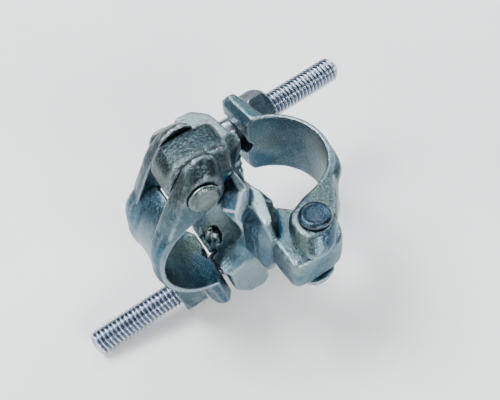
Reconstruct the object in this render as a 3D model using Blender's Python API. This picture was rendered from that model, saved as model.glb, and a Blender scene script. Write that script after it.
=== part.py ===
"""Right-angle scaffold coupler clamp, drop forged, for two 48.3 mm tubes.

Frame: X is the stack axis (along the bolts), clamp 1 sits at +X with its tube along Z,
clamp 2 sits at -X with its tube along Y.  Clamp 2 is clamp 1 turned half a turn about
(0, -1, 1), so every shape is described once, in clamp 1's place, in millimetres.
"""
import math

import bmesh
import bpy
from mathutils import Matrix, Vector

MM = 0.001

# Driving dimensions, millimetres and degrees
TUBE_RADIUS = 24.4            # saddle and cap bore, for a 48.3 mm tube
TUBE_X = 29.5                 # tube axis from the body's middle plane
HALF_WIDTH = 17.0             # half the coupler's width along its tube
RIVET_X, RIVET_Y = 19.5, -36.0
PIVOT_X, PIVOT_Y = 3.0, 37.0  # T-head axis
CAP_DROP_DEG = {1: 14.0, 2: 19.5}   # how far each cap drops past the tube's line when empty
BOLT_LEAN_DEG = {1: 9.0, 2: 12.0}   # each bolt leans out with its dropped cap
GAP = 0.3                     # clearance between separate pieces

TONGUE_HALF = 8.25            # hinge tongue, half thickness
TONGUE_RADIUS = 11.5
FORK_RADIUS = 14.6            # room in the cap for the tongue's rounded end
SHOULDER_RADIUS = 18.0        # and for its square shoulder, which sweeps past lower down
BAND_START_DEG = -82.0        # the cap's band runs from here, between its ears, to the bolt end
BAND_END_DEG = 58.0
EAR_INNER_Z = TONGUE_HALF + GAP
EAR_SWEEP_RADIUS = 15.4       # room for the hinge ears and their tails
CORE_HALF = 4.6               # half thickness of the web between the saddles
LUG_BOTTOM, LUG_TOP = -6.8, 13.2
LUG_END = 45.5
SLOT_HALF = 7.2               # bolt slot in lug and cap
SLOT_END_Y = 29.8             # centre of the slot's rounded end
SADDLE_LIP = 15.6
SCOOP_CENTER = (15.0, 10.0)   # hollows between the saddle's rims and the lug
FAR_SCOOP_SHARE = 0.7         # the far one is shallower

BOLT_RADIUS = 6.35
THREAD_PITCH = 25.4 / 12
THREAD_DEPTH = 1.05
BOLT_LENGTH = {1: 82.0, 2: 77.0}    # from the T-head axis to the tip
THREAD_START = 19.0
HEAD_HALF_LENGTH = 12.0
HEAD_RADIUS = 6.2
SEAT_RADIUS = 45.4            # cap seat, measured from the T-head axis with a tube in place

NUT_FLATS = 20.8
NUT_HEIGHT = 11.0
NUT_BORE = 6.42
NUT_GAP = 0.7                 # the nut leans on the crowned seat, so its centre stands off more

RIVET_RADIUS = 5.5
RIVET_HEAD_RADIUS = 6.9
RIVET_HEAD_HEIGHT = 2.2

RIB_RADIUS = 28.2             # cap band: outside radius on its two ribs at the crown
RIB_SWELL = 2.6               # how much the ribs swell toward the hinge ears
VALLEY_RADIUS = 26.8          # and in the valley between them
EDGE_RADIUS = 26.4            # and at its trimmed edges

HALF_TURN = Matrix(((-1, 0, 0, 0), (0, 0, -1, 0), (0, -1, 0, 0), (0, 0, 0, 1)))
CLAMP_FRAMES = {1: Matrix.Identity(4), 2: HALF_TURN}


def clear_scene():
    for obj in list(bpy.data.objects):
        bpy.data.objects.remove(obj, do_unlink=True)


def new_collection(name):
    collection = bpy.data.collections.new(name)
    bpy.context.scene.collection.children.link(collection)
    return collection


def steel(name, color, roughness):
    material = bpy.data.materials.new(name)
    material.use_nodes = True
    shader = material.node_tree.nodes["Principled BSDF"]
    shader.inputs["Base Color"].default_value = (*color, 1.0)
    shader.inputs["Metallic"].default_value = 1.0
    shader.inputs["Roughness"].default_value = roughness
    return material


def add_object(name, bm, frame, collection, pivot=(0.0, 0.0, 0.0)):
    """Make an object from a bmesh in clamp 1's place, with its origin at pivot."""
    origin = frame @ (Vector(pivot) * MM)
    bmesh.ops.transform(bm, matrix=Matrix.Translation(-origin) @ frame @ Matrix.Scale(MM, 4),
                        verts=bm.verts)
    bmesh.ops.recalc_face_normals(bm, faces=bm.faces)
    mesh = bpy.data.meshes.new(name)
    bm.to_mesh(mesh)
    bm.free()
    obj = bpy.data.objects.new(name, mesh)
    obj.location = origin
    collection.objects.link(obj)
    if collection.name == "cutters":
        obj.hide_render = True
        obj.display_type = "WIRE"
    return obj


def prism(outline, z_low, z_high):
    """A straight-sided solid over an XY outline."""
    bm = bmesh.new()
    low = [bm.verts.new((x, y, z_low)) for x, y in outline]
    high = [bm.verts.new((x, y, z_high)) for x, y in outline]
    bm.faces.new(low)
    bm.faces.new(high)
    count = len(outline)
    for i in range(count):
        j = (i + 1) % count
        bm.faces.new((low[i], low[j], high[j], high[i]))
    return bm


def crowned(outline, half, chamfer):
    """A prism centred on Z=0 whose long edges are chamfered."""
    bm = bmesh.new()
    inner = inset(outline, chamfer * 0.8)
    levels = [(inner, -half), (outline, chamfer - half), (outline, half - chamfer), (inner, half)]
    rings = [[bm.verts.new((x, y, z)) for x, y in points] for points, z in levels]
    bm.faces.new(rings[0])
    bm.faces.new(rings[-1])
    for ring_a, ring_b in zip(rings, rings[1:]):
        for i in range(len(ring_a)):
            j = (i + 1) % len(ring_a)
            bm.faces.new((ring_a[i], ring_a[j], ring_b[j], ring_b[i]))
    return bm


def inset(outline, distance):
    """Move every corner of a convex-ish outline inward by about distance."""
    points = [Vector(p) for p in outline]
    area = sum(a.x * b.y - b.x * a.y for a, b in zip(points, points[1:] + points[:1]))
    sign = 1.0 if area > 0 else -1.0
    moved = []
    for i, point in enumerate(points):
        before = (point - points[i - 1]).normalized()
        after = (points[(i + 1) % len(points)] - point).normalized()
        normal = Vector((-(before.y + after.y), before.x + after.x)).normalized() * sign
        moved.append(tuple(point + normal * distance))
    return moved


def slab(outline, x_low, x_high):
    """A straight-sided solid over a YZ outline."""
    bm = prism(outline, x_low, x_high)
    for vert in bm.verts:
        vert.co = vert.co.zxy
    return bm


def lathe(profile, center, segments=32):
    """A closed solid of revolution about an axis along Z; profile is (z, radius) pairs."""
    bm = bmesh.new()
    rings = []
    for z, radius in profile:
        ring = []
        for i in range(segments):
            angle = 2 * math.pi * i / segments
            ring.append(bm.verts.new((center[0] + radius * math.cos(angle),
                                      center[1] + radius * math.sin(angle), z)))
        rings.append(ring)
    bm.faces.new(rings[0])
    bm.faces.new(rings[-1])
    for ring_a, ring_b in zip(rings, rings[1:]):
        for i in range(segments):
            j = (i + 1) % segments
            bm.faces.new((ring_a[i], ring_a[j], ring_b[j], ring_b[i]))
    return bm


def hull(points):
    bm = bmesh.new()
    for point in points:
        bm.verts.new(point)
    bmesh.ops.convex_hull(bm, input=bm.verts)
    inside = [vert for vert in bm.verts if not vert.link_faces]
    bmesh.ops.delete(bm, geom=inside, context="VERTS")
    return bm


def arc(center, radius, start_deg, end_deg, steps):
    points = []
    for i in range(steps + 1):
        angle = math.radians(start_deg + (end_deg - start_deg) * i / steps)
        points.append((center[0] + radius * math.cos(angle), center[1] + radius * math.sin(angle)))
    return points


def about(center, degrees):
    """Rotation about an axis along Z through an XY point, in millimetres."""
    move = Matrix.Translation((center[0], center[1], 0))
    return move @ Matrix.Rotation(math.radians(degrees), 4, "Z") @ move.inverted()


def turned(bm, center, degrees):
    bmesh.ops.transform(bm, matrix=about(center, degrees), verts=bm.verts)
    return bm


def combine(target, helpers, operation):
    for helper in helpers:
        modifier = target.modifiers.new(f"{operation.lower()}_{helper.name}", "BOOLEAN")
        modifier.operation = operation
        modifier.solver = "EXACT"
        modifier.object = helper
        modifier.use_self = True


def shade(obj, material, smooth_deg=None):
    obj.data.materials.append(material)
    if smooth_deg is None:
        return
    for polygon in obj.data.polygons:
        polygon.use_smooth = True
    obj.data.set_sharp_from_angle(angle=math.radians(smooth_deg))


# Body forging

RIVET = (RIVET_X, RIVET_Y)
PIVOT = (PIVOT_X, PIVOT_Y)
TUBE = (TUBE_X, 0.0)


def lug_outline():
    """The saddle's bolt side: full-width seat and the forked lug that holds the T-head."""
    inner = -CORE_HALF - 0.06
    return [(inner, 6.3), (inner, 18.3), (LUG_BOTTOM, 22.0), (LUG_BOTTOM, LUG_END - 3.0),
            (LUG_BOTTOM + 3.0, LUG_END + 0.5), (LUG_BOTTOM + 11.0, LUG_END + 0.8),
            (LUG_TOP - 2.6, LUG_END - 5.0), (LUG_TOP - 1.4, LUG_END - 9.0), (LUG_TOP, 26.0),
            (SADDLE_LIP, 22.8), (SADDLE_LIP + 0.8, 19.0), (14.0, 6.0)]


def saddle_points():
    """The saddle's hinge side: narrow trimmed faces at its two rims, sloping away below them."""
    rim = HALF_WIDTH - 0.07
    below = 0.09 - CORE_HALF
    side = [(0.2, -28.3, rim), (3.2, -28.3, rim), (4.8, -14.0, rim), (2.4, 11.3, rim),
            (13.6, 11.3, rim), (8.0, -25.0, 11.5), (11.4, -15.0, 12.5), (below, -18.0, 8.6),
            (below, 11.3, 8.6), (-2.0, -26.0, 7.9), (1.7, -32.0, 7.7), (4.0, -32.0, 7.7)]
    return side + [(x, y, -z) for x, y, z in side]


def tongue_outline():
    """Hinge tongue: a square-shouldered bar toward the other clamp, rounded over the rivet."""
    shoulder = [(-2.0, -12.0), (1.4, -28.0), (1.8, -46.0), (3.2, -48.2), (7.0, -48.8),
                (14.0, -48.4), (21.0, -47.6), (26.2, -45.8), (29.2, -42.4), (30.6, -37.5)]
    return shoulder + arc(RIVET, TONGUE_RADIUS, 0.0, 78.0, 9) + [(16.0, -19.0), (10.0, -12.0)]


def body_additions(frame, cutters, index):
    shapes = {"tongue": crowned(tongue_outline(), TONGUE_HALF, 1.8),
              "lug": crowned(lug_outline(), HALF_WIDTH, 1.4),
              "saddle": hull(saddle_points())}
    return [add_object(f"add_{name}_{index}", bm, frame, cutters)
            for name, bm in shapes.items()]


def slot_outline(open_y):
    """Seen along the bolt: a U-shaped slot, rounded at the tube side and open outward."""
    inner = arc((SLOT_END_Y, 0.0), SLOT_HALF, 90.0, 270.0, 10)
    return inner + [(open_y, -SLOT_HALF), (open_y, SLOT_HALF)]


def pocket_outline():
    """Seat for the T-head: closed toward the cap, open toward the other clamp."""
    radius = HEAD_RADIUS + 0.35
    return [(LUG_BOTTOM - 6.0, PIVOT_Y - radius), (LUG_BOTTOM - 6.0, PIVOT_Y + radius)] + arc(
        PIVOT, radius, 90.0, -90.0, 14)


def body_cuts(frame, cutters, index):
    tube = lathe([(-70.0, TUBE_RADIUS), (70.0, TUBE_RADIUS)], TUBE, 72)
    slot = slab(slot_outline(60.0), -20.0, 40.0)
    pocket = prism(pocket_outline(), -HEAD_HALF_LENGTH - 0.4, HEAD_HALF_LENGTH + 0.4)
    rivet_hole = lathe([(-20.0, RIVET_RADIUS + GAP), (20.0, RIVET_RADIUS + GAP)], RIVET, 32)
    notch = slab(arc((19.0, 0.0), 6.4, 90.0, 270.0, 8) + [(34.0, -6.4), (34.0, 6.4)], 3.6, 24.0)
    scoop = [(8.5, 7.0), (12.0, 8.6), (15.0, 11.6), (17.85, 16.2)]
    near_scoop = lathe(scoop, SCOOP_CENTER, 28)
    far_scoop = lathe([(-z, radius * FAR_SCOOP_SHARE) for z, radius in scoop[::-1]], SCOOP_CENTER, 28)
    near_room = lathe([(TONGUE_HALF, EAR_SWEEP_RADIUS), (32.0, EAR_SWEEP_RADIUS)], RIVET, 40)
    far_room = lathe([(-32.0, EAR_SWEEP_RADIUS), (-TONGUE_HALF, EAR_SWEEP_RADIUS)], RIVET, 40)
    shapes = {"tube": tube, "slot": slot, "pocket": pocket, "rivet": rivet_hole,
              "notch": notch, "near_scoop": near_scoop, "far_scoop": far_scoop,
              "near_ear_room": near_room, "far_ear_room": far_room}
    return [add_object(f"cut_{name}_{index}", bm, frame, cutters)
            for name, bm in shapes.items()]


def make_body(parts, cutters, material):
    half = CORE_HALF - 0.25
    core = prism([(-half, -14.6), (half, -14.6), (half, 14.6), (-half, 14.6)], -14.6, 14.6)
    body = add_object("body_forging", core, CLAMP_FRAMES[1], parts)
    additions = []
    cuts = []
    for index, frame in CLAMP_FRAMES.items():
        additions += body_additions(frame, cutters, index)
        cuts += body_cuts(frame, cutters, index)
    combine(body, additions, "UNION")
    combine(body, cuts, "DIFFERENCE")
    shade(body, material)
    return body


# Caps, drawn closed on a tube and then dropped shut about their rivets

def band_section(swell):
    """Half of the band's cross section as (half width, radius) pairs, edge first."""
    rib = RIB_RADIUS + swell
    return [(HALF_WIDTH, EDGE_RADIUS + 0.4 * swell), (14.6, rib - 0.6), (12.4, rib),
            (10.0, rib - 0.5), (6.4, VALLEY_RADIUS), (0.0, VALLEY_RADIUS - 0.3)]


def band(steps):
    """The cap's ribbed band, swept about the tube axis."""
    bm = bmesh.new()
    loops = []
    for i in range(steps + 1):
        degrees = BAND_START_DEG + (BAND_END_DEG - BAND_START_DEG) * i / steps
        swell = RIB_SWELL * min(max((-28.0 - degrees) / 22.0, 0.0), 1.0)
        half = band_section(swell)
        section = [(-z, r) for z, r in half] + [(z, r) for z, r in half[-2::-1]]
        section = [(-HALF_WIDTH, 20.0)] + section + [(HALF_WIDTH, 20.0)]
        angle = math.radians(degrees)
        loops.append([bm.verts.new((TUBE_X + r * math.cos(angle), r * math.sin(angle), z))
                      for z, r in section])
    count = len(loops[0])
    for a, b in zip(loops, loops[1:]):
        for i in range(count):
            j = (i + 1) % count
            bm.faces.new((a[i], a[j], b[j], b[i]))
    bm.faces.new(loops[0])
    bm.faces.new(loops[-1])
    return bm


def hinge_ear_points(side):
    """One hinge ear: a boss round the rivet whose tail slopes down to a low tip beyond it."""
    foot = [(14.0, 13.4), (4.0, 11.6), (-4.7, 10.1), (-8.0, 7.6), (-10.6, 3.6), (-12.6, -2.4),
            (-12.8, -8.0), (-10.2, -11.2), (-5.6, -12.4), (-0.2, -11.4), (6.3, -6.4), (12.4, -1.8),
            (19.0, 4.6), (25.0, 10.0), (25.0, 14.0)]
    face = [(15.0, 12.4), (4.0, 10.4), (-4.4, 8.6), (-7.4, 5.8), (-9.2, 1.0), (-9.0, -4.0),
            (-5.6, -7.6), (0.5, -7.6), (8.0, -3.6), (13.0, 1.4), (22.0, 10.0)]
    points = [(x, y, z) for x, y in foot for z in (EAR_INNER_Z, EAR_INNER_Z + 2.4)]
    points += [(x * 1.16, y * 1.16, HALF_WIDTH - 2.2) for x, y in face[1:-1]]
    points += [(x, y, HALF_WIDTH) for x, y in face]
    return [(RIVET_X + x, RIVET_Y + y, side * z) for x, y, z in points]


def free_ear_outline():
    """The thick bolt end; its seat is an arc about the T-head axis so the bolt swings clear."""
    seat = arc(PIVOT, SEAT_RADIUS, 7.0, -11.0, 7)
    return [(36.4, 19.0), (37.0, 26.0), (39.0, 41.5), (40.8, 44.4), (43.6, 44.6)] + seat + [
        (47.9, 22.0), (45.4, 17.0)]


def make_cap(index, frame, parts, cutters, material):
    drop = (RIVET, CAP_DROP_DEG[index])
    cap = add_object(f"cap_{index}", turned(band(32), *drop), frame, parts,
                     RIVET + (0.0,))
    near_ear = hull(hinge_ear_points(1))
    far_ear = hull(hinge_ear_points(-1))
    free_ear = crowned(free_ear_outline(), HALF_WIDTH, 4.0)
    tube = lathe([(-30.0, TUBE_RADIUS), (30.0, TUBE_RADIUS)], TUBE, 72)
    fork = prism(fork_outline(), -EAR_INNER_Z, EAR_INNER_Z)
    slot = slab(slot_outline(60.0), 20.0, 70.0)
    rivet_hole = lathe([(-30.0, RIVET_RADIUS + GAP), (30.0, RIVET_RADIUS + GAP)], RIVET, 32)
    unions = {"near_ear": near_ear, "far_ear": far_ear, "free_ear": free_ear}
    cuts = {"bore": tube, "fork": fork, "bolt_slot": slot, "rivet_hole": rivet_hole}
    combine(cap, [add_object(f"cap_{name}_{index}", turned(bm, *drop), frame, cutters)
                  for name, bm in unions.items()], "UNION")
    combine(cap, [add_object(f"cap_{name}_{index}", turned(bm, *drop), frame, cutters)
                  for name, bm in cuts.items()], "DIFFERENCE")
    shade(cap, material)
    return cap


def fork_outline():
    """Room between the hinge ears for the body's tongue, at every opening angle."""
    low = arc(RIVET, SHOULDER_RADIUS, -75.0, -24.0, 5)
    top = arc(RIVET, FORK_RADIUS, -18.0, 60.0, 8)
    return [(RIVET_X - 24.0, RIVET_Y - 24.0), (RIVET_X + 2.0, RIVET_Y - 24.0)] + low + top + [
        (RIVET_X + 6.0, RIVET_Y + 20.0), (RIVET_X - 24.0, RIVET_Y + 20.0)]


# Bolts, nuts and rivets

def thread_radius(phase):
    """Rounded triangular thread form, phase 0 at a crest."""
    return BOLT_RADIUS - THREAD_DEPTH * 0.5 * (1.0 - math.cos(2 * math.pi * phase))


def threaded_shank(length, segments=18):
    """Plain shank then a helical thread up to a chamfered tip, along +X from the T-head axis."""
    bm = bmesh.new()
    step = THREAD_PITCH / 4
    heights = [0.0, THREAD_START - 1.0]
    turns = int((length - THREAD_START - 2.5) / step)
    heights += [THREAD_START + step * i for i in range(turns)]
    rings = []
    for height in heights:
        ring = []
        for i in range(segments):
            angle = 2 * math.pi * i / segments
            radius = BOLT_RADIUS
            if height > THREAD_START:
                radius = thread_radius(height / THREAD_PITCH - i / segments)
            ring.append((height, radius, angle))
        rings.append(ring)
    core = BOLT_RADIUS - THREAD_DEPTH
    for height, radius in ((length - 1.6, core + 0.1), (length, core - 0.9)):
        rings.append([(height, radius, 2 * math.pi * i / segments) for i in range(segments)])
    rows = [[bm.verts.new((PIVOT_X + h, PIVOT_Y + r * math.cos(a), r * math.sin(a)))
             for h, r, a in ring] for ring in rings]
    for row_a, row_b in zip(rows, rows[1:]):
        for i in range(segments):
            j = (i + 1) % segments
            bm.faces.new((row_a[i], row_a[j], row_b[j], row_b[i]))
    bm.faces.new(rows[0])
    bm.faces.new(rows[-1])
    return bm


def make_bolt(index, frame, parts, cutters, material):
    lean = (PIVOT, BOLT_LEAN_DEG[index])
    head = lathe([(-HEAD_HALF_LENGTH, HEAD_RADIUS - 0.8), (-HEAD_HALF_LENGTH + 0.8, HEAD_RADIUS),
                  (HEAD_HALF_LENGTH - 0.8, HEAD_RADIUS), (HEAD_HALF_LENGTH, HEAD_RADIUS - 0.8)],
                 PIVOT, 24)
    bolt = add_object(f"t_bolt_{index}", turned(threaded_shank(BOLT_LENGTH[index]), *lean), frame, parts,
                      PIVOT + (0.0,))
    helper = add_object(f"bolt_head_{index}", turned(head, *lean), frame, cutters)
    combine(bolt, [helper], "UNION")
    shade(bolt, material, 50.0)
    return bolt


def make_nut(index, frame, parts, cutters, material):
    """Hexagon nut with chamfered corners, bored over the thread, standing on the cap's seat."""
    low = nut_base_height(index)
    hexagon = []
    for i in range(6):
        angle = math.radians(60.0 * i + 30.0)
        corner = NUT_FLATS / math.sqrt(3.0)
        hexagon.append((PIVOT_Y + corner * math.cos(angle), corner * math.sin(angle)))
    nut = slab(hexagon, PIVOT_X + low, PIVOT_X + low + NUT_HEIGHT)
    lean = (PIVOT, BOLT_LEAN_DEG[index])
    center = about(*lean) @ Vector((PIVOT_X + low, PIVOT_Y, 0.0))
    obj = add_object(f"nut_{index}", turned(nut, *lean), frame, parts, tuple(center))
    half = NUT_FLATS / 2
    cone = lathe([(-1.0, half + 0.6), (1.2, half + 1.6), (NUT_HEIGHT - 2.2, half + 1.8),
                  (NUT_HEIGHT + 1.0, half - 1.4)], (0.0, 0.0), 36)
    bore = lathe([(-5.0, NUT_BORE), (NUT_HEIGHT + 5.0, NUT_BORE)], (0.0, 0.0), 32)
    along = Matrix.Translation((PIVOT_X + low, PIVOT_Y, 0.0)) @ Matrix.Rotation(
        math.radians(90.0), 4, "Y")
    helpers = []
    for name, bm in (("cone", cone), ("bore", bore)):
        bmesh.ops.transform(bm, matrix=along, verts=bm.verts)
        helpers.append(add_object(f"nut_{name}_{index}", turned(bm, *lean), frame, cutters))
    combine(obj, helpers[:1], "INTERSECT")
    combine(obj, helpers[1:], "DIFFERENCE")
    shade(obj, material)
    return obj


def nut_base_height(index):
    """Distance from the T-head axis to the nut's underside, on the dropped cap's seat."""
    seat_axis = about(RIVET, CAP_DROP_DEG[index]) @ Vector((PIVOT_X, PIVOT_Y, 0.0))
    toward = seat_axis - Vector((PIVOT_X, PIVOT_Y, 0.0))
    lean = math.radians(BOLT_LEAN_DEG[index])
    return toward.x * math.cos(lean) + toward.y * math.sin(lean) + SEAT_RADIUS + NUT_GAP


def make_rivet(index, frame, parts, material):
    edge = HALF_WIDTH + GAP
    half = [(edge + RIVET_HEAD_HEIGHT, RIVET_HEAD_RADIUS - 1.4),
            (edge + RIVET_HEAD_HEIGHT - 0.7, RIVET_HEAD_RADIUS - 0.3),
            (edge + 0.9, RIVET_HEAD_RADIUS), (edge, RIVET_HEAD_RADIUS), (edge, RIVET_RADIUS)]
    profile = [(-z, r) for z, r in half] + half[::-1]
    rivet = add_object(f"hinge_rivet_{index}", lathe(profile, RIVET, 32), frame, parts,
                       RIVET + (0.0,))
    shade(rivet, material, 50.0)
    return rivet


def build():
    clear_scene()
    parts = new_collection("scaffold_coupler")
    cutters = new_collection("cutters")
    forged = steel("zinc_plated_forging", (0.50, 0.57, 0.62), 0.42)
    machined = steel("zinc_plated_thread", (0.60, 0.64, 0.74), 0.28)
    make_body(parts, cutters, forged)
    for index, frame in CLAMP_FRAMES.items():
        make_cap(index, frame, parts, cutters, forged)
        make_bolt(index, frame, parts, cutters, machined)
        make_nut(index, frame, parts, cutters, machined)
        make_rivet(index, frame, parts, machined)


build()
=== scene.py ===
"""Looks of the right-angle scaffold coupler: forged, zinc-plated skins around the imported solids.

Every forged piece starts from its CAD solid, is remeshed finely, has its edges melted to the radii
a drop forging has, and gets a fine scale skin.  The nuts, rivets and T-heads are made the same way
on a finer grid, and the bolts' threaded shanks are modelled anew.

The row frame is metres: +X from the body to clamp 1, clamp 1's tube along Z, clamp 2's along Y.
Clamp 2 is clamp 1 turned half a turn, so places are given once, in clamp 1's own place.
"""
import math

import bmesh
import bpy
import numpy as np
from mathutils import Matrix, Vector


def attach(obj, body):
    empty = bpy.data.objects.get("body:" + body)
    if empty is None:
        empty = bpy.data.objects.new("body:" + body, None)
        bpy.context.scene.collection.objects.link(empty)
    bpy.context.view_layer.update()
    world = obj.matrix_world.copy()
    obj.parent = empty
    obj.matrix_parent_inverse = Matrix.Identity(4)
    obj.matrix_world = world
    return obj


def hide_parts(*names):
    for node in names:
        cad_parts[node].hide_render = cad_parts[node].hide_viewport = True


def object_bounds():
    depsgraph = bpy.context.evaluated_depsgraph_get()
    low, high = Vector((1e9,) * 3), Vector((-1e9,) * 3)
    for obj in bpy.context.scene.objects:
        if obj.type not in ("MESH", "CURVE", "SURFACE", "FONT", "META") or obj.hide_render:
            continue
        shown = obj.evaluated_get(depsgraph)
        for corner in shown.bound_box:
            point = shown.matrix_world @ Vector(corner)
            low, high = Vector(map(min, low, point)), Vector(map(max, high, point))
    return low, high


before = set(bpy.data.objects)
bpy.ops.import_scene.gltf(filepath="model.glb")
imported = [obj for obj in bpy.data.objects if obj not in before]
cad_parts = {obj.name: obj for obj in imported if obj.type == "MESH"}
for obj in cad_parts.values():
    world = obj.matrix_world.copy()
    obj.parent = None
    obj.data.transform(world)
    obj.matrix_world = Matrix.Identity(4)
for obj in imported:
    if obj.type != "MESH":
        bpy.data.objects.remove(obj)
cad_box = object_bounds()

# Places and sizes in clamp 1's own place
MM = 0.001
TUBE_X = 29.5 * MM
TUBE_RADIUS = 24.4 * MM
PIVOT = Vector((3.0, 37.0, 0.0)) * MM
RIVET = Vector((19.5, -36.0, 0.0)) * MM
BOLT_LEAN_DEG = {1: 9.0, 2: 12.0}
BOLT_LENGTH = {1: 82.0 * MM, 2: 77.0 * MM}
BOLT_RADIUS = 6.35 * MM
THREAD_PITCH = 25.4 * MM / 12
THREAD_START = 19.0 * MM

# Die flash in the notches of the saddles: x, y, z and radius of each lump, millimetres
SEAT_LUMPS = ((10.6, 19.0, -6.2, 2.6), (11.6, 19.8, -3.2, 2.8), (10.0, 18.0, -0.4, 2.9),
              (11.4, 20.2, 2.4, 3.0), (10.4, 18.4, 5.2, 2.8), (11.8, 20.4, 8.0, 2.4),
              (14.3, 22.6, -15.0, 1.9), (14.6, 22.2, -12.8, 1.9), (14.2, 22.8, -10.4, 2.0),
              (14.5, 22.3, -8.0, 1.9), (14.2, 22.5, -5.6, 2.0), (14.5, 22.1, -3.2, 1.9),
              (14.1, 22.4, -0.8, 2.0), (14.4, 22.0, 1.6, 1.8))

HALF_TURN = Matrix(((-1, 0, 0, 0), (0, 0, -1, 0), (0, -1, 0, 0), (0, 0, 0, 1)))
CLAMP_FRAMES = {1: Matrix.Identity(4), 2: HALF_TURN}

# Fineness of the remeshed skins, and the depth of their forged grain
BODY_VOXEL = 0.5 * MM
CAP_VOXEL = 0.45 * MM
HEAD_VOXEL = 0.3 * MM
SMALL_VOXEL = 0.25 * MM
GRAIN_DEPTH = 0.10 * MM
HEAD_GRAIN_DEPTH = 0.08 * MM

# Lights: name, place, size, watts, colour; all look at the origin
LIGHTS = (("top", (-0.45, 0.45, 1.10), (0.60, 0.60), 25.0, (0.98, 0.99, 1.0)),
          ("key", (0.08, -0.80, 0.40), (0.34, 0.24), 7.0, (1.0, 0.99, 0.95)),
          ("back", (0.30, 0.65, 0.90), (0.30, 0.30), 4.0, (0.96, 0.99, 1.0)),
          ("rim", (0.80, 0.20, 0.45), (0.40, 0.30), 4.0, (0.90, 0.96, 1.0)),
          ("left", (-0.80, -0.10, 0.35), (0.40, 0.25), 3.0, (1.0, 1.0, 0.92)))
WORLD_STOPS = ((0.0, (0.25, 0.34, 0.42)), (0.25, (0.06, 0.10, 0.14)), (0.6, (0.10, 0.16, 0.21)),
               (0.92, (0.70, 0.80, 0.85)))
WORLD_STRENGTH = 0.9
FLOOR_HALF = 4.0

# Camera, as a place and the directions of the picture's right and down
CAMERA_PLACE = Vector((-0.08552, -0.19947, 0.27469))
CAMERA_RIGHT = Vector((0.8683, -0.4923, -0.0608))
CAMERA_DOWN = Vector((-0.4197, -0.6638, -0.6190))
CAMERA_LENS = 57.35


# Mesh tools

def mesh_arrays(obj):
    mesh = obj.data
    points = np.empty(len(mesh.vertices) * 3)
    mesh.vertices.foreach_get("co", points)
    edges = np.empty(len(mesh.edges) * 2, int)
    mesh.edges.foreach_get("vertices", edges)
    return points.reshape(-1, 3), edges.reshape(-1, 2)


def normals_of(obj):
    normals = np.empty(len(obj.data.vertices) * 3)
    obj.data.vertex_normals.foreach_get("vector", normals)
    return normals.reshape(-1, 3)


def set_points(obj, points):
    obj.data.vertices.foreach_set("co", points.ravel())
    obj.data.update()


def averaging(edges, count):
    """A function that replaces each value by the mean of its neighbours, fast enough to repeat."""
    order = np.argsort(np.concatenate([edges[:, 0], edges[:, 1]]), kind="stable")
    targets = np.concatenate([edges[:, 0], edges[:, 1]])[order]
    sources = np.concatenate([edges[:, 1], edges[:, 0]])[order]
    starts = np.searchsorted(targets, np.arange(count))
    degree = np.maximum(np.bincount(edges.ravel(), minlength=count), 1)

    def mean(values):
        return np.add.reduceat(values[sources], starts, axis=0) / degree[:, None]
    return mean


def apply_modifiers(obj):
    depsgraph = bpy.context.evaluated_depsgraph_get()
    mesh = bpy.data.meshes.new_from_object(obj.evaluated_get(depsgraph))
    obj.modifiers.clear()
    obj.data = mesh
    return obj


def new_object(name, mesh):
    obj = bpy.data.objects.new(name, mesh)
    bpy.context.scene.collection.objects.link(obj)
    return obj


def solid_copy(node, name, lumps=()):
    """A welded copy of a CAD node's mesh, free to be reshaped; lumps are added (place, radii) pairs."""
    bm = bmesh.new()
    bm.from_mesh(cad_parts[node].data)
    for place, radii in lumps:
        shape = Matrix.Translation(place) @ Matrix.Diagonal((*radii, 1.0))
        bmesh.ops.create_icosphere(bm, subdivisions=3, radius=1.0, matrix=shape)
    bmesh.ops.remove_doubles(bm, verts=bm.verts, dist=1e-6)
    bmesh.ops.recalc_face_normals(bm, faces=bm.faces)
    mesh = bpy.data.meshes.new(name)
    bm.to_mesh(mesh)
    bm.free()
    return new_object(name, mesh)


# Value noise, so that the forged skin is real geometry

def lattice(cells, seed):
    """A repeatable random value in 0..1 for each integer cell."""
    x, y, z = (cells[:, i].astype(np.int64) for i in range(3))
    mixed = (x * 73856093) ^ (y * 19349663) ^ (z * 83492791) ^ (seed * 2654435761)
    mixed = (mixed ^ (mixed >> 13)) * 1274126177
    return ((mixed ^ (mixed >> 16)) & 0xFFFFFF) / float(0xFFFFFF)


def value_noise(points, size, seed):
    scaled = points / size
    base = np.floor(scaled).astype(np.int64)
    part = scaled - base
    part = part * part * (3 - 2 * part)
    total = np.zeros(len(points))
    for corner in range(8):
        offset = np.array([corner & 1, (corner >> 1) & 1, (corner >> 2) & 1])
        weight = np.prod(np.where(offset, part, 1 - part), axis=1)
        total += weight * lattice(base + offset, seed)
    return total * 2 - 1


def bore_mask(points):
    """1 on the tube seats, where the die leaves the steel smooth, and 0 away from them."""
    mask = np.zeros(len(points))
    for x, along in ((TUBE_X, 2), (-TUBE_X, 1)):
        across = 3 - along
        distance = np.hypot(points[:, 0] - x, points[:, across])
        mask = np.maximum(mask, np.clip((TUBE_RADIUS + 1.2 * MM - distance) / (1.0 * MM), 0, 1))
    return mask


def own_places(points, index):
    """Points of the row frame in a clamp's own place, where clamp 2 reads like clamp 1."""
    if index == 1:
        return points
    return np.stack([-points[:, 0], -points[:, 2], -points[:, 1]], axis=1)


def from_rivet(own):
    """Distance of points in a clamp's own place from its rivet's axis."""
    return np.hypot(own[:, 0] - RIVET.x, own[:, 1] - RIVET.y)


def tongue_mask(points):
    """1 on the square ends of the two hinge tongues, whose corners the die leaves very round."""
    mask = np.zeros(len(points))
    for index in (1, 2):
        own = own_places(points, index)
        inside = np.abs(own[:, 2]) < 9.0 * MM
        mask = np.maximum(mask, np.clip((-39.0 * MM - own[:, 1]) / (4.0 * MM), 0, 1) * inside)
    return mask[:, None]


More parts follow.
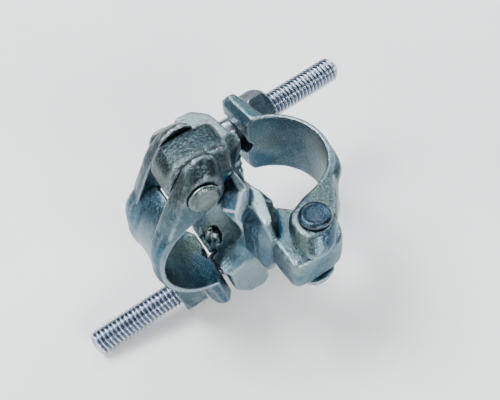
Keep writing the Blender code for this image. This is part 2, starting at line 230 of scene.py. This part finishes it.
def lit_rim_mask(points):
    """1 on the narrow faces along the saddles' rims, and half that on the lugs' sides; these faces are
    painted pale as painted light.
    """
    mask = np.zeros(len(points))
    for index in (1, 2):
        x, y, z = own_places(points, index).T / MM
        along = np.clip((y + 29.5) / 1.5, 0, 1) * np.clip((9.0 - y) / 4.0, 0, 1)
        side = np.clip((z - 16.1) / 0.6, 0, 1) * (z < 17.8)
        lug = 0.5 * np.clip((y - 19.0) / 3.0, 0, 1) * (x < 13.0)
        mask = np.maximum(mask, side * np.maximum(along * (x < 7.0), lug))
    return mask


def dish_heads(points, _mean):
    """The peened rivet heads sink a little inside their rims."""
    moved = points.copy()
    for index in (1, 2):
        own = own_places(points, index)
        reach = from_rivet(own)
        sink = np.clip((5.4 * MM - reach) / (2.2 * MM), 0, 1)
        sink = sink * sink * (3 - 2 * sink) * 0.3 * MM * (np.abs(own[:, 2]) > 18.3 * MM)
        own = own - np.outer(sink * np.sign(own[:, 2]), (0.0, 0.0, 1.0)) * (reach < 7.5 * MM)[:, None]
        moved = np.where((sink > 0)[:, None], own_places(own, index), moved)
    return moved


def forge(obj, voxel, melt, grain, seed, reshape=None):
    """Remesh a solid finely, melt its edges, lay the scale skin on it, and store its relief measures for
    the rubbed and highlighted edges and the painted shade.
    """
    remesh = obj.modifiers.new("remesh", "REMESH")
    remesh.mode = "VOXEL"
    remesh.voxel_size = voxel
    remesh.use_smooth_shade = True
    apply_modifiers(obj)
    points, edges = mesh_arrays(obj)
    mean = averaging(edges, len(points))
    for _ in range(melt):
        points = points + 0.6 * (mean(points) - points)
        points = points - 0.32 * (mean(points) - points)
    if reshape is not None:
        points = reshape(points, mean)
    set_points(obj, points)
    normals = normals_of(obj)
    smooth = 1.0 - 0.8 * bore_mask(points)
    skin = 0.5 * value_noise(points, 2.6 * MM, seed) + 0.35 * value_noise(points, 1.3 * MM, seed + 1)
    skin += 0.25 * value_noise(points, 6.5 * MM, seed + 2)
    points = points + normals * (skin * smooth * grain)[:, None]
    set_points(obj, points)
    store_relief_measures(obj, mean)
    return obj


# The edge and relief measures drive the rubbed edges, the painted highlights on edges and the painted
# shade in hollows and creases.
def store_relief_measures(obj, mean):
    """Keep, per vertex, how far the surface stands out of (or lies in) its surroundings."""
    points, _ = mesh_arrays(obj)
    normals = normals_of(obj)
    blurred = points
    standing = []
    for turn in range(24):
        blurred = mean(blurred)
        if turn in (3, 23):
            standing.append(((points - blurred) * normals).sum(axis=1))
    fine, broad = standing
    for name, values, scale in (("edge", fine, 0.12 * MM), ("relief", broad, 0.55 * MM)):
        spread = values[:, None]
        for _ in range(3):
            spread = mean(spread)
        attribute = obj.data.attributes.new(name, "FLOAT", "POINT")
        level = np.clip(0.5 + 0.5 * spread[:, 0] / scale, 0, 1).astype(np.float32)
        attribute.data.foreach_set("value", level)


# Store the mask of the faces painted pale as painted light.
def store_lit_rim(obj):
    points, _ = mesh_arrays(obj)
    attribute = obj.data.attributes.new("painted_light_rim", "FLOAT", "POINT")
    attribute.data.foreach_set("value", lit_rim_mask(points).astype(np.float32))


# Materials

class Nodes:
    """Short calls for building one material's node tree."""

    def __init__(self, name):
        self.material = bpy.data.materials.new(name)
        self.material.use_nodes = True
        self.tree = self.material.node_tree
        self.shader = self.tree.nodes["Principled BSDF"]
        self.space = self.tree.nodes.new("ShaderNodeTexCoord").outputs["Object"]

    def add(self, kind, inputs=None, **settings):
        node = self.tree.nodes.new(kind)
        for key, value in settings.items():
            setattr(node, key, value)
        for key, value in (inputs or {}).items():
            if isinstance(value, bpy.types.NodeSocket):
                self.tree.links.new(value, node.inputs[key])
            else:
                node.inputs[key].default_value = value
        return node

    def noise(self, scale, detail=3.0, roughness=0.55, distortion=0.0):
        inputs = {"Vector": self.space, "Scale": scale, "Detail": detail, "Roughness": roughness,
                  "Distortion": distortion}
        return self.add("ShaderNodeTexNoise", inputs).outputs["Fac"]

    def spots(self, scale):
        inputs = {"Vector": self.space, "Scale": scale}
        return self.add("ShaderNodeTexVoronoi", inputs).outputs["Distance"]

    def height(self):
        return self.add("ShaderNodeSeparateXYZ", {"Vector": self.space}).outputs["Z"]

    def attribute(self, name):
        return self.add("ShaderNodeAttribute", attribute_name=name).outputs["Fac"]

    def remap(self, value, low, high, to_low=0.0, to_high=1.0):
        return self.add("ShaderNodeMapRange", {"Value": value, "From Min": low, "From Max": high,
                                               "To Min": to_low, "To Max": to_high}).outputs["Result"]

    def mix(self, factor, a, b):
        node = self.add("ShaderNodeMix", data_type="RGBA")
        for socket, value in zip((node.inputs[0], node.inputs[6], node.inputs[7]), (factor, a, b)):
            if isinstance(value, bpy.types.NodeSocket):
                self.tree.links.new(value, socket)
            elif socket is node.inputs[0]:
                socket.default_value = value
            else:
                socket.default_value = (*value, 1.0)
        return node.outputs[2]

    def add_values(self, a, b):
        return self.add("ShaderNodeMath", {0: a, 1: b}, operation="ADD").outputs[0]

    def bump(self, height, distance, strength, below=None):
        inputs = {"Height": height, "Distance": distance, "Strength": strength}
        if below is not None:
            inputs["Normal"] = below
        return self.add("ShaderNodeBump", inputs).outputs["Normal"]

    def finish(self, color, roughness, normal):
        for key, value in (("Base Color", color), ("Roughness", roughness), ("Normal", normal)):
            self.tree.links.new(value, self.shader.inputs[key])
        self.shader.inputs["Metallic"].default_value = 1.0
        return self.material


# Painted shade: the dark teal laid into the hollows and creases of the zinc skins.
ZINC_PAINTED_SHADE = (0.006, 0.030, 0.060)
ZINC_BLUE = (0.034, 0.088, 0.132)
ZINC_PALE = (0.098, 0.160, 0.195)
ZINC_DARK_TOP = (0.022, 0.032, 0.033)
ZINC_OLIVE = (0.085, 0.110, 0.085)
# Pale rubbed zinc, which also serves as a painted highlight on edges and on faces that catch the light.
ZINC_WEAR_AND_HIGHLIGHT = (0.50, 0.60, 0.66)


def forging_material():
    n = Nodes("zinc_forging_skin")
    cloud = n.noise(60.0, 3.0, 0.6, 0.4)
    grain = n.noise(900.0, 4.0, 0.65)
    fleck = n.spots(1300.0)
    color = n.mix(n.remap(cloud, 0.40, 0.62), ZINC_BLUE, ZINC_PALE)
    color = n.mix(n.remap(n.noise(34.0, 2.0), 0.52, 0.68, 0.0, 0.7), color, ZINC_OLIVE)
    # Higher up (object height 12 to 42 mm, with a cloudy edge) the colour turns darker.
    height = n.add_values(n.height(), n.remap(cloud, 0.3, 0.7, -0.008, 0.008))
    color = n.mix(n.remap(height, 0.012, 0.042, 0.0, 0.85), color, ZINC_DARK_TOP)
    # Painted light: the narrow rim faces and lug sides painted pale, as where they catch the light.
    color = n.mix(n.remap(n.attribute("painted_light_rim"), 0.0, 1.0, 0.0, 0.7), color, ZINC_WEAR_AND_HIGHLIGHT)
    # Painted shade in the broad hollows and recesses.
    color = n.mix(n.remap(n.attribute("relief"), 0.47, 0.22, 0.0, 0.85), color, ZINC_PAINTED_SHADE)
    color = n.mix(n.remap(grain, 0.52, 0.72, 0.0, 0.16), color, ZINC_WEAR_AND_HIGHLIGHT)
    # Convex edges lighter: partly rubbed zinc, partly a painted highlight along the crests.
    color = n.mix(n.remap(n.attribute("edge"), 0.60, 0.95, 0.0, 0.36), color, ZINC_WEAR_AND_HIGHLIGHT)
    # Painted shade in the fine creases and concave edges.
    color = n.mix(n.remap(n.attribute("edge"), 0.40, 0.15, 0.0, 0.7), color, ZINC_PAINTED_SHADE)
    roughness = n.remap(grain, 0.3, 0.75, 0.24, 0.42)
    coarse = n.bump(n.noise(380.0, 3.0), 0.0010, 0.30)
    fine = n.bump(grain, 0.0005, 0.5, coarse)
    normal = n.bump(fleck, 0.0003, 0.25, fine)
    return n.finish(color, roughness, normal)


def thread_material():
    n = Nodes("zinc_thread_skin")
    cloud = n.noise(90.0, 2.0, 0.6)
    grain = n.noise(1400.0, 3.0, 0.6)
    color = n.mix(n.remap(cloud, 0.35, 0.68), (0.100, 0.135, 0.200), (0.20, 0.23, 0.30))
    # Painted highlight on the thread crests and painted shade in the thread roots.
    color = n.mix(n.remap(n.attribute("edge"), 0.52, 0.72, 0.0, 0.9), color, (0.56, 0.60, 0.68))
    color = n.mix(n.remap(n.attribute("edge"), 0.46, 0.25, 0.0, 0.75), color, (0.05, 0.07, 0.13))
    roughness = n.remap(grain, 0.3, 0.7, 0.16, 0.32)
    normal = n.bump(grain, 0.0003, 0.3)
    return n.finish(color, roughness, normal)


def turned_material(name, deep, pale):
    """Nuts and rivet heads: smoother than the forgings."""
    n = Nodes(name)
    cloud = n.noise(140.0, 3.0, 0.6, 0.3)
    grain = n.noise(900.0, 4.0, 0.65)
    color = n.mix(n.remap(cloud, 0.36, 0.64), deep, pale)
    # Convex edges lighter, partly rubbed zinc and partly a painted highlight; creases darker with
    # painted shade.
    color = n.mix(n.remap(n.attribute("edge"), 0.60, 0.95, 0.0, 0.5), color, ZINC_WEAR_AND_HIGHLIGHT)
    color = n.mix(n.remap(n.attribute("edge"), 0.44, 0.2, 0.0, 0.8), color, ZINC_PAINTED_SHADE)
    roughness = n.remap(grain, 0.3, 0.75, 0.22, 0.42)
    normal = n.bump(grain, 0.0005, 0.4, n.bump(cloud, 0.0015, 0.25))
    return n.finish(color, roughness, normal)


def floor_material():
    n = Nodes("pale_floor")
    tone = n.mix(n.remap(n.noise(9.0, 2.0), 0.3, 0.7, 0.0, 1.0), (0.90, 0.90, 0.90), (0.93, 0.93, 0.93))
    n.tree.links.new(tone, n.shader.inputs["Base Color"])
    n.shader.inputs["Roughness"].default_value = 0.9
    return n.material


# Pieces

def bolt_matrix(index):
    """From a bolt drawn along +X from the origin to its place in the row frame."""
    lean = Matrix.Rotation(math.radians(BOLT_LEAN_DEG[index]), 4, "Z")
    return CLAMP_FRAMES[index] @ Matrix.Translation(PIVOT) @ lean


def tube_of_rings(name, rings):
    """A closed mesh through equal rings of points, capped flat at both ends."""
    bm = bmesh.new()
    rows = [[bm.verts.new(point) for point in ring] for ring in rings]
    for row_a, row_b in zip(rows, rows[1:]):
        for i in range(len(row_a)):
            j = (i + 1) % len(row_a)
            bm.faces.new((row_a[i], row_a[j], row_b[j], row_b[i]))
    bm.faces.new(rows[0])
    bm.faces.new(rows[-1])
    bmesh.ops.recalc_face_normals(bm, faces=bm.faces)
    mesh = bpy.data.meshes.new(name)
    bm.to_mesh(mesh)
    bm.free()
    mesh.shade_smooth()
    return new_object(name, mesh)


def whitworth(phase):
    """Depth below the crest, 0 to 1, of a thread with rounded crests and roots."""
    wave = 0.5 - 0.5 * np.cos(2 * np.pi * phase)
    return wave ** 0.85


def make_shank(index):
    segments = 60
    step = THREAD_PITCH / 10
    depth = 1.05 * MM
    length = BOLT_LENGTH[index]
    angles = np.arange(segments) * 2 * np.pi / segments
    stations = [0.0, THREAD_START - 2 * MM]
    stations += list(np.arange(THREAD_START, length - 0.1 * MM, step)) + [length - 0.05 * MM]
    rings = []
    for station in stations:
        runout = np.clip((station - THREAD_START) / (1.5 * THREAD_PITCH), 0, 1)
        cut = whitworth(station / THREAD_PITCH - angles / (2 * np.pi)) * depth * runout
        chamfer = np.clip(station - (length - 2.6 * MM), 0, None) * 0.75
        radius = np.minimum(BOLT_RADIUS - cut, BOLT_RADIUS - chamfer)
        rings.append([(station, r * math.cos(a), r * math.sin(a)) for r, a in zip(radius, angles)])
    shank = tube_of_rings(f"bolt_shank_{index}", rings)
    shank.data.transform(bolt_matrix(index))
    points, edges = mesh_arrays(shank)
    store_relief_measures(shank, averaging(edges, len(points)))
    return shank


def seat_lumps():
    """Flash left by the die inside the two bolt-side notches of the saddles."""
    lumps = []
    for index in (1, 2):
        for x, y, z, radius in SEAT_LUMPS:
            place = CLAMP_FRAMES[index] @ (Vector((x, y, z)) * MM)
            lumps.append((place, (radius * MM, radius * 1.15 * MM, radius * 0.85 * MM)))
    return lumps


def soften_tongues(points, mean):
    return soften(points, mean, tongue_mask(points), 26)


def soften_ears(points, mean):
    """Round the facets of a cap's hinge ears into smooth lobes."""
    mask = np.zeros(len(points))
    for index in (1, 2):
        own = own_places(points, index)
        reach = from_rivet(own)
        outer = np.clip((np.abs(own[:, 2]) - 9.5 * MM) / (2.0 * MM), 0, 1)
        near = np.clip((19.0 * MM - reach) / (5.0 * MM), 0, 1) * (own[:, 0] > 0)
        mask = np.maximum(mask, near * outer)
    return soften(points, mean, mask[:, None], 22)


def soften(points, mean, mask, turns):
    for _ in range(turns):
        points = points + 0.7 * mask * (mean(points) - points)
    return points


def set_material(obj, material):
    obj.data.materials.clear()
    obj.data.materials.append(material)


def make_skin(node, body, name, voxel, melt, seed, material, lumps=(), reshape=None):
    """A finely forged skin that stands in for one CAD node and rides on its body."""
    piece = forge(solid_copy(node, name, lumps), voxel, melt, GRAIN_DEPTH, seed, reshape)
    set_material(piece, material)
    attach(piece, body)
    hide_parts(node)
    return piece


def make_bolt(index, material):
    """The forged T-head and the threaded shank, which together stand in for the CAD bolt."""
    head = solid_copy(f"t_bolt_{index}", f"bolt_head_{index}")
    trim_to_head(head, index)
    forge(head, HEAD_VOXEL, 3, HEAD_GRAIN_DEPTH, 50 + index)
    shank = make_shank(index)
    for piece in (head, shank):
        set_material(piece, material)
        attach(piece, f"t_bolt_{index}")
    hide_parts(f"t_bolt_{index}")


def build_pieces():
    forged = forging_material()
    threaded = thread_material()
    nut_skin = turned_material("zinc_nut_skin", (0.036, 0.062, 0.085), (0.105, 0.140, 0.160))
    # The two rivets are alike: rivet 1's skin is painted darker as painted shade, rivet 2's paler and
    # more olive as painted light.
    rivet_skins = {1: turned_material("zinc_rivet_skin_shaded_1", (0.018, 0.037, 0.060), (0.048, 0.072, 0.094)),
                   2: turned_material("zinc_rivet_skin_lit_2", (0.055, 0.078, 0.078), (0.125, 0.155, 0.148))}
    body = make_skin("body_forging", "body", "body_skin", BODY_VOXEL, 8, 11, forged,
                     lumps=seat_lumps(), reshape=soften_tongues)
    store_lit_rim(body)
    for index in (1, 2):
        make_skin(f"cap_{index}", f"cap_{index}", f"cap_skin_{index}", CAP_VOXEL, 7, 20 + index,
                  forged, reshape=soften_ears)
        make_skin(f"nut_{index}", f"nut_{index}", f"nut_skin_{index}", SMALL_VOXEL, 3, 30 + index,
                  nut_skin)
        make_skin(f"hinge_rivet_{index}", "body", f"rivet_skin_{index}", SMALL_VOXEL, 3, 40 + index,
                  rivet_skins[index], reshape=dish_heads)
        make_bolt(index, threaded)


def trim_to_head(obj, index):
    """Keep the T-head and the first of the plain shank."""
    place = bolt_matrix(index)
    along = (place.to_3x3() @ Vector((1, 0, 0))).normalized()
    cut = place @ Vector((THREAD_START * 0.6, 0, 0))
    bm = bmesh.new()
    bm.from_mesh(obj.data)
    found = bmesh.ops.bisect_plane(bm, geom=bm.verts[:] + bm.edges[:] + bm.faces[:], plane_co=cut,
                                   plane_no=along, clear_outer=True)
    edges = [item for item in found["geom_cut"] if isinstance(item, bmesh.types.BMEdge)]
    bmesh.ops.contextual_create(bm, geom=edges)
    bm.to_mesh(obj.data)
    bm.free()


# Stage

def area_light(name, place, size, watts, color):
    light = bpy.data.lights.new(name, "AREA")
    light.shape = "RECTANGLE"
    light.size, light.size_y = size
    light.energy = watts
    light.color = color
    obj = bpy.data.objects.new(name, light)
    obj.location = place
    obj.rotation_euler = (-Vector(place)).to_track_quat("-Z", "Y").to_euler()
    bpy.context.scene.collection.objects.link(obj)
    return obj


def build_floor():
    low = min(corner[2] for corner in cad_box)
    mesh = bpy.data.meshes.new("floor")
    corners = [(x * FLOOR_HALF, y * FLOOR_HALF, low) for x, y in ((-1, -1), (1, -1), (1, 1), (-1, 1))]
    mesh.from_pydata(corners, [], [(0, 1, 2, 3)])
    floor = new_object("floor", mesh)
    floor.data.materials.append(floor_material())


def build_world():
    """A studio dome, bright overhead and dim toward the horizon, so that the metal has contrast."""
    world = bpy.data.worlds.new("studio")
    bpy.context.scene.world = world
    world.use_nodes = True
    tree = world.node_tree
    place = tree.nodes.new("ShaderNodeTexCoord")
    split = tree.nodes.new("ShaderNodeSeparateXYZ")
    ramp = tree.nodes.new("ShaderNodeValToRGB")
    while len(ramp.color_ramp.elements) < len(WORLD_STOPS):
        ramp.color_ramp.elements.new(0.5)
    for element, (position, color) in zip(ramp.color_ramp.elements, WORLD_STOPS):
        element.position = position
        element.color = (*color, 1.0)
    tree.links.new(place.outputs["Generated"], split.inputs[0])
    tree.links.new(split.outputs["Z"], ramp.inputs["Fac"])
    background = tree.nodes["Background"]
    tree.links.new(ramp.outputs["Color"], background.inputs["Color"])
    background.inputs["Strength"].default_value = WORLD_STRENGTH


def build_camera():
    right = CAMERA_RIGHT.normalized()
    down = (CAMERA_DOWN - right * CAMERA_DOWN.dot(right)).normalized()
    forward = right.cross(down)
    turn = Matrix((right, -down, -forward)).transposed().to_4x4()
    camera = bpy.data.cameras.new("camera")
    camera.lens = CAMERA_LENS
    camera.sensor_width = 36.0
    camera.clip_start = 0.01
    obj = bpy.data.objects.new("camera", camera)
    obj.matrix_world = Matrix.Translation(CAMERA_PLACE) @ turn
    bpy.context.scene.collection.objects.link(obj)
    bpy.context.scene.camera = obj


build_camera()
build_pieces()
build_floor()
build_world()
for light in LIGHTS:
    area_light(*light)
bpy.context.view_layer.update()
